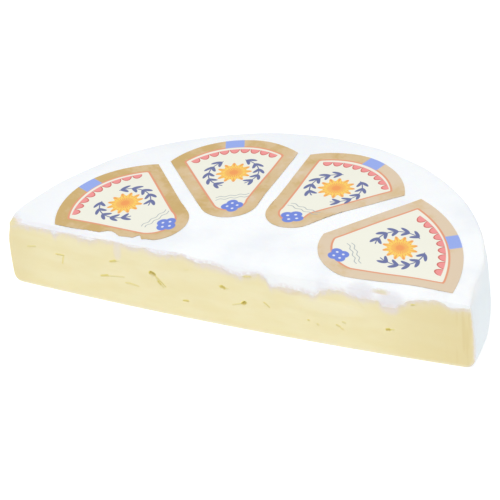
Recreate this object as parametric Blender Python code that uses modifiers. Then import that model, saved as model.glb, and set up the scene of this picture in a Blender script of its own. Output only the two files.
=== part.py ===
"""Half wheel of a large soft white cheese with four fan-shaped paper labels.

The wheel is turned from its profile, cut in half by a knife block whose face
carries the bow of the cut and the ragged lip of the rind, and hollowed by small
eyes and cracks. The labels are thin paper solids that follow the uneven top.
The origin is the middle of the half wheel's box, on the surface it rests on.
"""
import math

import bmesh
import bpy
from mathutils import Matrix, Vector, noise

MM = 0.001

# The wheel
WHEEL_RADIUS = 130 * MM
WHEEL_HEIGHT = 37.6 * MM
BELLY_HEIGHT = 12 * MM
SIDE_LEAN = 2.0 * MM
TOP_ROUND = 2.6 * MM
BASE_ROUND = 5.5 * MM
WHEEL_STEPS = 120
CORE_RADIUS = 14 * MM
RIM_START = 102 * MM
RIM_END = 124 * MM
RIM_RISE = 0.6 * MM
TOP_RINGS = 9
SIDE_RINGS = 6
ROUND_STEPS = 4

# Where the side stands fuller, or is worn: direction from the middle in degrees and half width,
# height and half height in mm, and how far out in mm
SIDE_SWELLS = (
    (0, 12, 37, 12, 0.9),
    (25, 40, 16, 34, 0.7),
    (170, 22, 20, 30, 0.7),
    (180, 5, 38, 12, -1.5),
)

# The low uneven relief of the rind
RELIEF_HEIGHT = 0.45 * MM
RELIEF_LENGTH = 24 * MM
RELIEF_SEED = Vector((3.7, 1.9, 5.3))

# The cut
CUT_BOW = 4 * MM
CUT_COLUMNS = 116
PASTE_ROWS = 4
KNIFE_REACH = 140 * MM
KNIFE_DEPTH = 160 * MM
KNIFE_MARGIN = 6 * MM
LIP_PROUD = 0.8 * MM
LIP_STEP = 0.5 * MM
ROLL_SHARE = 0.45
ROLL_LEAST = 0.9 * MM
ROLL_MOST = 3.0 * MM
ROLL_REACH = 4 * MM

# The rind's ragged lower edge over the cut: place along the cut and how far down it hangs, in mm
LIP_LINE = (
    (-130, 0.6), (-114, 0.9), (-103, 0.7), (-100.5, 4.0), (-97, 1.4), (-90, 0.8), (-85, 2.0), (-79, 2.7),
    (-74, 0.9), (-68, 0.7), (-61, 1.2), (-54, 2.2), (-47, 1.4), (-42, 3.1), (-37, 3.2), (-26, 1.4),
    (-21, 3.1), (-17, 4.2), (-8, 3.6), (-3, 4.9), (1, 6.3), (6, 7.2), (12, 5.4), (17, 4.3),
    (20, 5.4), (24, 10.4), (29, 9.1), (38, 9.3), (47, 10.7), (51, 7.6), (56, 5.7), (62, 5.3),
    (68, 7.2), (73, 7.5), (81, 7.0), (83.5, 9.9), (90, 9.9), (93, 7.1), (98, 3.8), (104, 2.4),
    (112, 1.0), (115, 2.2), (118, 3.8), (126, 2.6), (131, 2.0),
)

# Eyes and cracks in the cut: place along it, height, half width, half height, tilt, in mm and degrees
EYES = (
    (-115.6, 23.6, 2.6, 0.6, 8),
    (-98.5, 22.3, 2.6, 0.6, 0),
    (-96.8, 19.7, 0.6, 2.6, 0),
    (-66.9, 24.2, 1.9, 1.1, 10),
    (-71.9, 14.9, 2.1, 0.9, 8),
    (-56.0, 13.1, 4.6, 0.5, -8),
    (-43.6, 22.0, 1.7, 1.3, -20),
    (-39.4, 16.6, 1.1, 1.0, 0),
    (-24.9, 9.7, 1.6, 1.0, 0),
    (-3.2, 21.6, 2.1, 1.6, -20),
    (7.9, 14.8, 1.7, 1.1, 30),
    (20.9, 16.1, 2.0, 0.5, -35),
    (59.8, 11.5, 1.3, 0.8, 0),
    (62.9, 14.0, 0.9, 0.9, 0),
    (86.6, 14.5, 2.4, 0.9, 10),
)
EYE_DEPTH = 1.8 * MM

# The paper labels
LABEL_GAP = 0.3 * MM
LABEL_THICKNESS = 0.4 * MM
LABEL_COLUMNS = 10
LABEL_ROWS = 9

# Each label in mm, in its own frame: along the radius through its middle, and across it.
# Corners run outer left, outer right, inner left, inner right; mid is the top of the outer arc
# and tip the lowest point of the inner one.
LABELS = (
    {"angle": 157.5, "outer": ((95.9, 34.9), (99.9, -39.6)), "mid": 115.2,
     "inner": ((49.9, 17.5), (54.6, -19.1)), "tip": 39.3},
    {"angle": 112.5, "outer": ((101.1, 36.2), (102.3, -32.8)), "mid": 118.9,
     "inner": ((51.0, 16.5), (54.6, -14.0)), "tip": 40.4},
    {"angle": 67.5, "outer": ((98.3, 42.5), (100.5, -25.8)), "mid": 116.4,
     "inner": ((49.8, 21.2), (56.5, -7.1)), "tip": 37.8},
    {"angle": 22.5, "outer": ((97.7, 48.1), (110.5, -40.7)), "mid": 116.7,
     "inner": ((48.1, 19.8), (58.1, -19.2)), "tip": 45.8},
)

# The wheel's centre lies behind the origin, which is the middle of the half wheel's box
CENTRE_Y = -(WHEEL_RADIUS - CUT_BOW) / 2


def clear_scene():
    for obj in list(bpy.data.objects):
        bpy.data.objects.remove(obj, do_unlink=True)


def new_collection(name):
    collection = bpy.data.collections.new(name)
    bpy.context.scene.collection.children.link(collection)
    return collection


def new_material(name, colour, roughness):
    material = bpy.data.materials.new(name)
    material.use_nodes = True
    shader = material.node_tree.nodes["Principled BSDF"]
    shader.inputs["Base Color"].default_value = (*colour, 1.0)
    shader.inputs["Roughness"].default_value = roughness
    shader.inputs["Metallic"].default_value = 0.0
    return material


def new_object(name, mesh, collection, materials):
    obj = bpy.data.objects.new(name, mesh)
    for material in materials:
        mesh.materials.append(material)
    collection.objects.link(obj)
    return obj


def mesh_from(bm, name):
    bmesh.ops.recalc_face_normals(bm, faces=bm.faces)
    mesh = bpy.data.meshes.new(name)
    bm.to_mesh(mesh)
    bm.free()
    return mesh


def smoothstep(low, high, value):
    t = min(1.0, max(0.0, (value - low) / (high - low)))
    return t * t * (3 - 2 * t)


def relief(x, y, z=0.0):
    """Height of the rind's soft bumps at a point, with x and y from the wheel's centre."""
    place = Vector((x, y, z)) / RELIEF_LENGTH + RELIEF_SEED
    return RELIEF_HEIGHT * noise.noise(place)


def top_height(x, y):
    """Height of the wheel's top, which rises a little to its rim, with x and y from the centre."""
    radius = math.hypot(x, y)
    rim = RIM_RISE * smoothstep(RIM_START, RIM_END, radius)
    return WHEEL_HEIGHT + rim + relief(x, y) * smoothstep(CORE_RADIUS, 2 * CORE_RADIUS, radius)


def side_swell(x, y, z):
    """How far the side stands out from the plain round form, with x and y from the centre."""
    direction = abs(math.degrees(math.atan2(y, x)))
    swell = 0.0
    for middle, half_width, height, half_height, out in SIDE_SWELLS:
        away = ((direction - middle) / half_width) ** 2 + ((z / MM - height) / half_height) ** 2
        swell += out * MM * math.exp(-away)
    return swell * smoothstep(RIM_START, RIM_END, math.hypot(x, y))


def side_radius(z):
    """Radius of the wheel's side, widest at the belly and leaning in above and below it."""
    reach = WHEEL_HEIGHT - BELLY_HEIGHT
    return WHEEL_RADIUS - SIDE_LEAN * ((z - BELLY_HEIGHT) / reach) ** 2


def wheel_profile():
    """Points (radius, height) from the top's core, over the edge and down to the base."""
    top_low = WHEEL_HEIGHT - TOP_ROUND
    top_edge = side_radius(top_low) - TOP_ROUND
    base_edge = side_radius(BASE_ROUND) - BASE_ROUND
    points = []
    for ring in range(TOP_RINGS):
        points.append((CORE_RADIUS + (top_edge - CORE_RADIUS) * ring / TOP_RINGS, WHEEL_HEIGHT))
    for step in range(ROUND_STEPS):
        angle = math.pi / 2 * step / ROUND_STEPS
        points.append((top_edge + TOP_ROUND * math.sin(angle), top_low + TOP_ROUND * math.cos(angle)))
    for ring in range(SIDE_RINGS):
        z = top_low + (BASE_ROUND - top_low) * ring / SIDE_RINGS
        points.append((side_radius(z), z))
    for step in range(ROUND_STEPS + 1):
        angle = math.pi / 2 * step / ROUND_STEPS
        points.append((base_edge + BASE_ROUND * math.cos(angle), BASE_ROUND - BASE_ROUND * math.sin(angle)))
    return points


def turned_wheel(collection, rind):
    """The whole wheel: its profile turned by a Screw, closed in the middle and given its relief."""
    bm = bmesh.new()
    points = [bm.verts.new((radius, 0, z)) for radius, z in wheel_profile()]
    for first, second in zip(points, points[1:]):
        bm.edges.new((first, second))
    outline = bpy.data.meshes.new("wheel_outline")
    bm.to_mesh(outline)
    bm.free()
    guide = new_object("wheel_outline", outline, collection, [])
    screw = guide.modifiers.new("turn", "SCREW")
    screw.axis = "Z"
    screw.angle = math.tau
    screw.steps = WHEEL_STEPS
    screw.render_steps = WHEEL_STEPS
    screw.use_merge_vertices = True
    screw.merge_threshold = 0.00001
    turned = bpy.data.meshes.new_from_object(guide.evaluated_get(bpy.context.evaluated_depsgraph_get()))
    bpy.data.objects.remove(guide, do_unlink=True)

    bm = bmesh.new()
    bm.from_mesh(turned)
    bmesh.ops.remove_doubles(bm, verts=bm.verts, dist=0.00001)
    bmesh.ops.holes_fill(bm, edges=bm.edges, sides=WHEEL_STEPS + 1)
    for vert in bm.verts:
        x, y, z = vert.co
        radius = math.hypot(x, y)
        up = smoothstep(WHEEL_HEIGHT - TOP_ROUND, WHEEL_HEIGHT, z)
        side = (1 - up) * smoothstep(0, BASE_ROUND, z)
        vert.co.z += (top_height(x, y) - WHEEL_HEIGHT) * up
        swell = (relief(x, y, z) - RELIEF_HEIGHT) * side + side_swell(x, y, z)
        vert.co.x += x / radius * swell
        vert.co.y += y / radius * swell
    bmesh.ops.translate(bm, verts=bm.verts, vec=(0, CENTRE_Y, 0))
    mesh = mesh_from(bm, "cheese")
    mesh.shade_smooth()
    mesh.set_sharp_from_angle(angle=math.radians(35))
    return new_object("cheese", mesh, collection, [rind])


def lip_depth(x):
    """How far the rind hangs down over the cut at a place along it."""
    for (left, depth), (right, next_depth) in zip(LIP_LINE, LIP_LINE[1:]):
        if x < right * MM:
            return (depth + (next_depth - depth) * smoothstep(left, right, x / MM)) * MM
    return LIP_LINE[-1][1] * MM


def edge_roll(x):
    """How far the rind rolls over the edge of the cut at a place along it."""
    nearby = [lip_depth(x + step * ROLL_REACH) for step in (-1, 0, 1)]
    return min(ROLL_MOST, max(ROLL_LEAST, ROLL_SHARE * sum(nearby) / 3))


def cut_bow(x, z):
    """How far the cut stands out in front of the wheel's middle: most at the foot of its centre."""
    across = 1 - min(1.0, abs(x) / WHEEL_RADIUS) ** 2
    down = 1 - min(1.0, max(0.0, z / WHEEL_HEIGHT))
    return -CUT_BOW * across * down


def knife_rows(x):
    """Rows of the knife's face at a place along the cut: height, step in front of the paste."""
    lip = WHEEL_HEIGHT - lip_depth(x)
    roll = edge_roll(x)
    rows = [(-KNIFE_MARGIN, 0.0)]
    for row in range(PASTE_ROWS):
        rows.append(((lip - LIP_STEP) * row / (PASTE_ROWS - 1), 0.0))
    rows.append((lip, -LIP_PROUD))
    rows.append((max(lip + LIP_STEP, WHEEL_HEIGHT - roll), -LIP_PROUD))
    rows.append((max(lip + 1.2 * LIP_STEP, WHEEL_HEIGHT - 0.3 * roll), 0.35 * roll - LIP_PROUD))
    rows.append((WHEEL_HEIGHT + 1.4 * LIP_STEP, 1.2 * roll - LIP_PROUD))
    rows.append((WHEEL_HEIGHT + KNIFE_MARGIN, 2 * roll))
    return rows


def cutting_block(collection, rind, paste):
    """The knife: a block in front of the cut, whose back face is the shape of the cut."""
    row_count = len(knife_rows(0.0))
    bm = bmesh.new()
    bmesh.ops.create_grid(bm, x_segments=CUT_COLUMNS, y_segments=row_count - 1, size=1.0)
    for vert in bm.verts:
        x = vert.co.x * KNIFE_REACH
        z, step = knife_rows(x)[round((vert.co.y + 1) / 2 * (row_count - 1))]
        vert.co = (x, CENTRE_Y + cut_bow(x, z) + step, z)
    for face in bm.faces:
        middle = face.calc_center_median()
        face.material_index = 1 if middle.z > WHEEL_HEIGHT - lip_depth(middle.x) - LIP_STEP else 0
    back = bmesh.ops.extrude_face_region(bm, geom=bm.faces[:])
    for item in back["geom"]:
        if isinstance(item, bmesh.types.BMVert):
            item.co.y = CENTRE_Y - KNIFE_DEPTH
    return new_object("knife", mesh_from(bm, "knife"), collection, [paste, rind])


def eye_cutter(collection, paste):
    """All eyes and cracks of the cut as flat round bodies set into its face."""
    bm = bmesh.new()
    for x, z, half_width, half_height, tilt in EYES:
        place = Vector((x * MM, CENTRE_Y + cut_bow(x * MM, z * MM), z * MM))
        turn = Matrix.Rotation(math.radians(-tilt), 4, "Y")
        size = Matrix.Diagonal((half_width * MM, EYE_DEPTH, half_height * MM, 1))
        bmesh.ops.create_uvsphere(bm, u_segments=10, v_segments=6, radius=1,
                                  matrix=Matrix.Translation(place) @ turn @ size)
    return new_object("eyes", mesh_from(bm, "eyes"), collection, [paste])


def cut_away(obj, cutter, name, crossing=False):
    """Take a cutter out of an object; crossing is for a cutter whose own bodies overlap."""
    cutter.hide_render = True
    cutter.display_type = "WIRE"
    boolean = obj.modifiers.new(name, "BOOLEAN")
    boolean.operation = "DIFFERENCE"
    boolean.solver = "EXACT"
    boolean.use_self = crossing
    boolean.material_mode = "TRANSFER"
    boolean.object = cutter


def arc_point(first, mid, last, share):
    """Point at a share of the way along the circle through three points of a plane."""
    (ax, ay), (bx, by), (cx, cy) = first, mid, last
    double_area = 2 * (ax * (by - cy) + bx * (cy - ay) + cx * (ay - by))
    a2, b2, c2 = ax * ax + ay * ay, bx * bx + by * by, cx * cx + cy * cy
    centre_x = (a2 * (by - cy) + b2 * (cy - ay) + c2 * (ay - by)) / double_area
    centre_y = (a2 * (cx - bx) + b2 * (ax - cx) + c2 * (bx - ax)) / double_area
    radius = math.hypot(ax - centre_x, ay - centre_y)
    start = math.atan2(ay - centre_y, ax - centre_x)
    sweep = math.atan2(cy - centre_y, cx - centre_x) - start
    toward_mid = math.atan2(by - centre_y, bx - centre_x) - start
    sweep %= math.tau
    if toward_mid % math.tau > sweep:
        sweep -= math.tau
    angle = start + sweep * share
    return centre_x + radius * math.cos(angle), centre_y + radius * math.sin(angle)


def label_point(label, across, along):
    """Point of a label, from its left side to its right one and from its tip to its outer arc."""
    left, right = label["outer"]
    outer = arc_point(left, (label["mid"], (left[1] + right[1]) / 2), right, across)
    left, right = label["inner"]
    inner = arc_point(left, (label["tip"], (left[1] + right[1]) / 2), right, across)
    radial = inner[0] + (outer[0] - inner[0]) * along
    side = inner[1] + (outer[1] - inner[1]) * along
    angle = math.radians(label["angle"])
    x = radial * math.cos(angle) - side * math.sin(angle)
    y = radial * math.sin(angle) + side * math.cos(angle)
    return x * MM, y * MM


def paper_label(name, label, collection, paper):
    """One label: a grid shaped to the label's outline, laid on the rind and given its thickness."""
    bm = bmesh.new()
    bmesh.ops.create_grid(bm, x_segments=LABEL_COLUMNS, y_segments=LABEL_ROWS, size=1.0)
    for vert in bm.verts:
        x, y = label_point(label, (1 - vert.co.x) / 2, (1 + vert.co.y) / 2)
        vert.co = (x, y + CENTRE_Y, top_height(x, y) + LABEL_GAP)
    upper = bmesh.ops.extrude_face_region(bm, geom=bm.faces[:])
    raised = [item for item in upper["geom"] if isinstance(item, bmesh.types.BMVert)]
    bmesh.ops.translate(bm, verts=raised, vec=(0, 0, LABEL_THICKNESS))
    mesh = mesh_from(bm, name)
    mesh.shade_smooth()
    mesh.set_sharp_from_angle(angle=math.radians(35))
    return new_object(name, mesh, collection, [paper])


def main():
    clear_scene()
    parts = new_collection("half_wheel_of_soft_cheese")
    cutters = new_collection("cutters")
    rind = new_material("white_rind", (0.90, 0.91, 0.90), 0.75)
    paste = new_material("cream_paste", (0.86, 0.76, 0.45), 0.5)
    paper = new_material("label_paper", (0.86, 0.74, 0.60), 0.4)

    cheese = turned_wheel(parts, rind)
    cut_away(cheese, cutting_block(cutters, rind, paste), "cut in half")
    cut_away(cheese, eye_cutter(cutters, paste), "eyes", crossing=True)
    for number, label in enumerate(LABELS, start=1):
        paper_label(f"label_{number}", label, parts, paper)


main()
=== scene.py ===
# %% [markdown]
# Half a wheel of soft white cheese, cut straight through its middle, with four paper labels.
# The solids of the part come first, as a frame that nothing below moves or resizes.
# Each later step makes one surface of the real thing on top of that frame.

# %% The frame
import math

import bmesh
import bpy
from mathutils import Matrix, Quaternion, Vector, kdtree, noise


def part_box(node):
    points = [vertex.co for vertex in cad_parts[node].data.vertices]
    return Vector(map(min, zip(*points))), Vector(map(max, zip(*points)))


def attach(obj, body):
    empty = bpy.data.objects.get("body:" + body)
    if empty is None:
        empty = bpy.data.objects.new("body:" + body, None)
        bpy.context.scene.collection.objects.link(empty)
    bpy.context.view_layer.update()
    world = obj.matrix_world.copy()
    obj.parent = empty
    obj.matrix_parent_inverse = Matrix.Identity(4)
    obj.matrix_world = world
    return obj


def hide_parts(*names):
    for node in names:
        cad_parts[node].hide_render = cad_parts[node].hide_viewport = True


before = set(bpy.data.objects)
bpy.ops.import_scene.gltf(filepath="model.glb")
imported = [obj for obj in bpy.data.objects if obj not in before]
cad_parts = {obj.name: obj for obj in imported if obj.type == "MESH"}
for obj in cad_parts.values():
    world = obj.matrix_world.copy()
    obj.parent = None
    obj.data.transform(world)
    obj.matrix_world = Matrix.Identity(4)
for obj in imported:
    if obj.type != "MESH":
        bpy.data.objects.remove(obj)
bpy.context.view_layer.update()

print("nodes:", sorted(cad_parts))

# %% [markdown]
# The wheel is 260 mm across. Its middle lies on the cut, at the origin of the sizes below,
# and the bow of the cut reaches 4 mm in front of it, where the frame's box begins.

# %% Sizes of the wheel
MM = 0.001
RADIUS = 130 * MM
HEIGHT = 37.6 * MM
BELLY = 12 * MM
LEAN = 2.0 * MM
TOP_ROUND = 2.6 * MM
BASE_ROUND = 5.5 * MM
BOW = 4 * MM
MIDDLE = Vector((0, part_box("cheese")[0][1] + BOW, 0))
print("middle of the wheel in mm:", [round(value / MM, 2) for value in MIDDLE])

# %% [markdown]
# The camera looks down on the cut from its right, a little tilted, through a long lens,
# so that the round rim hardly tapers. These values come from fitting the outline.

# %% Camera
CAMERA_AZIMUTH = math.radians(28.5)
CAMERA_ELEVATION = math.radians(32.5)
CAMERA_ROLL = math.radians(-6.18)
CAMERA_DISTANCE = 8.725 * RADIUS
CAMERA_LENS = 152.65
CAMERA_AIM = MIDDLE + Vector((-0.162, 0.4914, 0)) * RADIUS


def add_camera():
    back = Vector((
        math.sin(CAMERA_AZIMUTH) * math.cos(CAMERA_ELEVATION),
        -math.cos(CAMERA_AZIMUTH) * math.cos(CAMERA_ELEVATION),
        math.sin(CAMERA_ELEVATION),
    ))
    bpy.ops.object.camera_add(location=CAMERA_AIM + back * CAMERA_DISTANCE)
    camera = bpy.context.object
    camera.rotation_mode = "QUATERNION"
    upright = (-back).to_track_quat("-Z", "Y")
    camera.rotation_quaternion = upright @ Quaternion((0, 0, 1), CAMERA_ROLL)
    camera.data.lens = CAMERA_LENS
    camera.data.sensor_width = 36
    bpy.context.scene.camera = camera
    return camera


camera = add_camera()
print("camera stands", round(CAMERA_DISTANCE, 3), "m away")

# %% [markdown]
# Studio light is soft and comes from all round, as in a light tent, so whites stay white.
# One large lamp overhead, a little in front, gives the rind and the cut their gentle shape.

# %% Light and floor
SKY_LOW = 0.22
SKY_HIGH = 0.90
LAMP_SIZE = 1.6
LAMP_POWER = 13.6
LAMP_PLACE = Vector((0.1, -0.55, 1.85))
FLOOR_SIZE = 8


def add_lamp(place, size, power, colour):
    bpy.ops.object.light_add(type="AREA", location=place)
    lamp = bpy.context.object
    lamp.data.shape = "DISK"
    lamp.data.size = size
    lamp.data.energy = power
    lamp.data.color = colour
    lamp.rotation_mode = "QUATERNION"
    lamp.rotation_quaternion = (-place).to_track_quat("-Z", "Y")
    return lamp


bpy.context.scene.view_settings.view_transform = "Standard"
add_lamp(LAMP_PLACE, LAMP_SIZE, LAMP_POWER, (1.0, 0.985, 0.97))

bpy.ops.mesh.primitive_plane_add(size=FLOOR_SIZE)
floor = bpy.context.object
floor.name = "floor"

# %% [markdown]
# Shader maths reads best as plain expressions. A Wire is one output of one node,
# adding two wires adds a Math node, and every other node comes from one method.


# %% Wires for shader maths
class Wire:
    """One output of a material's node, which can be used in Python expressions."""

    def __init__(self, tree, socket):
        self.tree = tree
        self.socket = socket

    def node(self, kind, sockets=None, output=0, stops=None, **settings):
        made = self.tree.nodes.new(kind)
        for name, value in settings.items():
            setattr(made, name, value)
        for number, (place, colour) in enumerate(stops or []):
            ramp = made.color_ramp.elements
            stop = ramp[number] if number < 2 else ramp.new(place)
            stop.position = place
            stop.color = (*colour, 1)
        for name, value in (sockets or {}).items():
            if isinstance(value, Wire):
                self.tree.links.new(value.socket, made.inputs[name])
            else:
                made.inputs[name].default_value = value
        return Wire(self.tree, made.outputs[output])

    def maths(self, operation, *values):
        return self.node("ShaderNodeMath", dict(enumerate(values)), operation=operation)

    def __add__(self, other):
        return self.maths("ADD", self, other)

    def __radd__(self, other):
        return self.maths("ADD", other, self)

    def __sub__(self, other):
        return self.maths("SUBTRACT", self, other)

    def __rsub__(self, other):
        return self.maths("SUBTRACT", other, self)

    def __mul__(self, other):
        return self.maths("MULTIPLY", self, other)

    def __rmul__(self, other):
        return self.maths("MULTIPLY", other, self)

    def __truediv__(self, other):
        return self.maths("DIVIDE", self, other)

    def smooth(self, low, high):
        """0 below low, 1 above high, and a soft step between them."""
        sockets = {"Value": self, "From Min": low, "From Max": high}
        return self.node("ShaderNodeMapRange", sockets, interpolation_type="SMOOTHSTEP")

    def bump(self, middle, width):
        """1 at the middle, falling softly to 0 at that width on either side."""
        distance = self.maths("ABSOLUTE", self - middle)
        return 1 - distance.smooth(0, width)

    def mix(self, first, second, blend="MIX"):
        """The first colour where this wire is 0, and the second where it is 1."""
        sockets = {0: self, 6: first, 7: second}
        return self.node("ShaderNodeMix", sockets, 2, data_type="RGBA", blend_type=blend)

    def grain(self, size, detail=3, stretch=None):
        """Noise from 0 to 1 with grains of a size in metres, on a wire of places."""
        place = self
        if stretch:
            place = self.node("ShaderNodeMapping", {"Vector": self, "Scale": stretch})
        sockets = {"Vector": place, "Scale": 1 / size, "Detail": detail}
        return self.node("ShaderNodeTexNoise", sockets)


def rgb(red, green, blue):
    """A colour picked on screen, as the linear values a shader takes."""
    values = [part / 255 for part in (red, green, blue)]
    linear = [v / 12.92 if v <= 0.04045 else ((v + 0.055) / 1.055) ** 2.4 for v in values]
    return (*linear, 1)


def new_finish(name):
    """A new material: itself, its shader and a wire to start from, which is its places."""
    material = bpy.data.materials.new(name)
    material.use_nodes = True
    tree = material.node_tree
    shader = tree.nodes["Principled BSDF"]
    places = Wire(tree, tree.nodes.new("ShaderNodeTexCoord").outputs["Object"])
    return material, shader, places


def plug(shader, **wires):
    """Wires into a shader's sockets; an underscore stands for a space in a socket's name."""
    for name, wire in wires.items():
        wire.tree.links.new(wire.socket, shader.inputs[name.replace("_", " ")])


print("wire class ready")

# %% [markdown]
# The tent itself is brighter overhead than low down, so the top is whiter than the sides.

# %% The light tent
world = bpy.data.worlds.new("light_tent")
world.use_nodes = True
backdrop = world.node_tree.nodes["Background"]
tent = Wire(world.node_tree, world.node_tree.nodes.new("ShaderNodeTexCoord").outputs["Generated"])
upward = tent.node("ShaderNodeSeparateXYZ", {"Vector": tent}, 2)
strength = SKY_LOW + upward.smooth(-0.1, 1.0) * (SKY_HIGH - SKY_LOW)
world.node_tree.links.new(strength.socket, backdrop.inputs["Strength"])
backdrop.inputs["Color"].default_value = (0.97, 0.985, 1.0, 1)
bpy.context.scene.world = world
print("tent strength:", SKY_LOW, "to", SKY_HIGH)

# %% [markdown]
# The floor is plain pale card. It glows a little, because a light tent has no dark corner.

# %% Floor finish
FLOOR_GLOW = 0.25

material, shader, places = new_finish("pale_card")
plug(shader, Base_Color=places.grain(0.5).mix(rgb(250, 250, 250), rgb(253, 253, 253)))
shader.inputs["Roughness"].default_value = 0.9
shader.inputs["Emission Color"].default_value = (1, 1, 1, 1)
shader.inputs["Emission Strength"].default_value = FLOOR_GLOW
floor.data.materials.append(material)
print("floor finish:", material.name)

# %% [markdown]
# Soft cheese has no straight surface. The rind has slow bumps, which the frame's solids share,
# and finer ones that only show close up. The side stands a little fuller on the right and left,
# and the rim is dented and worn. Where the knife went through, the rind is dragged down over the cut
# along a ragged line, and rolls over the edge. All of it is a few functions of the place.

# %% The form of the rind and the cut
RELIEF_HEIGHT = 0.45 * MM
RELIEF_LENGTH = 24 * MM
RELIEF_SEED = Vector((3.7, 1.9, 5.3))
CORE_RADIUS = 14 * MM
RIM_START = 102 * MM
RIM_END = 124 * MM
RIM_RISE = 0.6 * MM

# The finer bumps: height and length in mm, and a seed, and how far they sink to stay in the solids
FINE_BUMPS = ((0.10, 8.0, 7.0), (0.05, 3.1, 9.0))
FINE_SINK = 0.12 * MM

# The lip stands proud of the cut once it is LIP_FULL deep, and the top rolls over the edge
LIP_PROUD = 0.7 * MM
LIP_FULL = 2.0 * MM
ROLL_SHARE = 0.45
ROLL_MOST = 3.0 * MM
ROLL_LENGTH = 2.2 * MM
ROLL_REACH = 4 * MM

# The side's fuller and dented places: direction and half width in degrees, height and half height
# in mm, and how far out in mm
SIDE_SWELLS = (
    (0, 12, 37, 12, 0.9), (25, 40, 16, 34, 0.7), (170, 22, 20, 30, 0.7), (180, 2.5, 36, 8, -1.4),
    (8, 5.5, 40, 9, -3.8), (174, 5, 38, 10, 1.1),
)
SWELL_START = 112 * MM
SWELL_END = 126 * MM

# The rind's ragged lower edge: place along the cut and how far down it hangs, in mm
LIP_LINE = (
    (-130, 0.6), (-114, 0.9), (-103, 0.7), (-100.5, 3.2), (-97, 1.4), (-90, 0.8), (-85, 2.0), (-79, 2.7),
    (-74, 0.9), (-68, 0.7), (-61, 1.2), (-54, 2.2), (-47, 1.4), (-42, 3.1), (-37, 3.2), (-26, 1.4),
    (-21, 3.1), (-17, 4.2), (-8, 3.6), (-3, 4.9), (1, 6.3), (6, 7.2), (12, 5.4), (17, 4.3),
    (20, 5.4), (24, 10.4), (29, 9.1), (38, 9.3), (47, 10.7), (51, 7.6), (56, 5.7), (62, 5.3),
    (68, 7.2), (73, 7.5), (81, 7.0), (83.5, 9.9), (90, 9.9), (93, 7.1), (98, 3.8), (104, 2.4),
    (112, 1.0), (115, 2.2), (118, 3.8), (126, 2.6), (131, 2.0),
)

# Where the rind is torn off the edge: place along the cut, height, half width, half height, in mm,
# with the height going on over the edge and along the top
TORN = ((82.4, 37.8, 5.6, 1.5),)

# Where the rim is worn, or raised if negative: direction in degrees, depth in mm, half width in degrees
WORN = ((9, 1.6, 6), (66, -0.4, 10), (118, 0.4, 12), (152, 0.4, 7))
WORN_START = 118 * MM
WORN_END = 129 * MM


def smoothstep(low, high, value):
    """0 at low, 1 at high and a soft step between them, whichever is larger."""
    t = min(1.0, max(0.0, (value - low) / (high - low)))
    return t * t * (3 - 2 * t)


def bumps(x, y, z, length, seed=0.0):
    """Smooth noise from about -1 to 1 whose bumps have that length."""
    return noise.noise(Vector((x, y, z)) / length + RELIEF_SEED + Vector((seed, 0, 0)))


def side_radius(z):
    """Radius of the plain side at a height, widest at the belly."""
    return RADIUS - LEAN * ((z - BELLY) / (HEIGHT - BELLY)) ** 2


def outline_radius(z):
    """Radius of the wheel at a height, with its rounded top and base edges."""
    if z < BASE_ROUND:
        edge = side_radius(BASE_ROUND) - BASE_ROUND
        return edge + math.sqrt(max(0.0, BASE_ROUND ** 2 - (BASE_ROUND - z) ** 2))
    top_low = HEIGHT - TOP_ROUND
    if z > top_low:
        edge = side_radius(top_low) - TOP_ROUND
        return edge + math.sqrt(max(0.0, TOP_ROUND ** 2 - (z - top_low) ** 2))
    return side_radius(z)


def side_swell(x, y, z):
    """How far the side stands out from its plain round form."""
    direction = math.degrees(math.atan2(y, x))
    swell = 0.0
    for middle, half_width, height, half_height, out in SIDE_SWELLS:
        away = ((direction - middle) / half_width) ** 2 + ((z / MM - height) / half_height) ** 2
        swell += out * MM * math.exp(-away)
    return swell * smoothstep(SWELL_START, SWELL_END, math.hypot(x, y))


def lip_depth(x):
    """How far the rind reaches down over the cut at a place along it."""
    for (left, depth), (right, next_depth) in zip(LIP_LINE, LIP_LINE[1:]):
        if x < right * MM:
            return (depth + (next_depth - depth) * smoothstep(left, right, x / MM)) * MM
    return LIP_LINE[-1][1] * MM


def edge_drop(x, y):
    """How far the top sinks as it rolls over the edge of the cut."""
    nearby = [lip_depth(x + step * ROLL_REACH) for step in (-1, 0, 1)]
    roll = min(ROLL_MOST, ROLL_SHARE * sum(nearby) / 3)
    return roll * math.exp(-max(y, 0.0) / ROLL_LENGTH)


def top_relief(x, y):
    """How far the top stands above its plain height: the rim's rise and wear, and slow bumps."""
    radius = math.hypot(x, y)
    direction = math.degrees(math.atan2(y, x))
    wear = sum(deep * MM * math.exp(-((direction - place) / wide) ** 2) for place, deep, wide in WORN)
    rise = RIM_RISE * smoothstep(RIM_START, RIM_END, radius)
    core = smoothstep(CORE_RADIUS, 2 * CORE_RADIUS, radius)
    slow = RELIEF_HEIGHT * bumps(x, y, 0, RELIEF_LENGTH) * core
    return rise + slow - wear * smoothstep(WORN_START, WORN_END, radius)


def fine_relief(x, y, z):
    """The finer bumps, as a height above the rind's slow form."""
    return sum(high * MM * bumps(x, y, z, long * MM, seed) for high, long, seed in FINE_BUMPS) - FINE_SINK


depths = [lip_depth(step * MM) / MM for step in range(-120, 121)]
print("the rind hangs", round(min(depths), 1), "to", round(max(depths), 1), "mm over the cut")

# %% [markdown]
# Eyes and cracks are small hollows in the paste. Each is a short line with a width and a depth:
# a round eye is hardly longer than wide, a crack is long and thin, and both may taper to one end.

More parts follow.
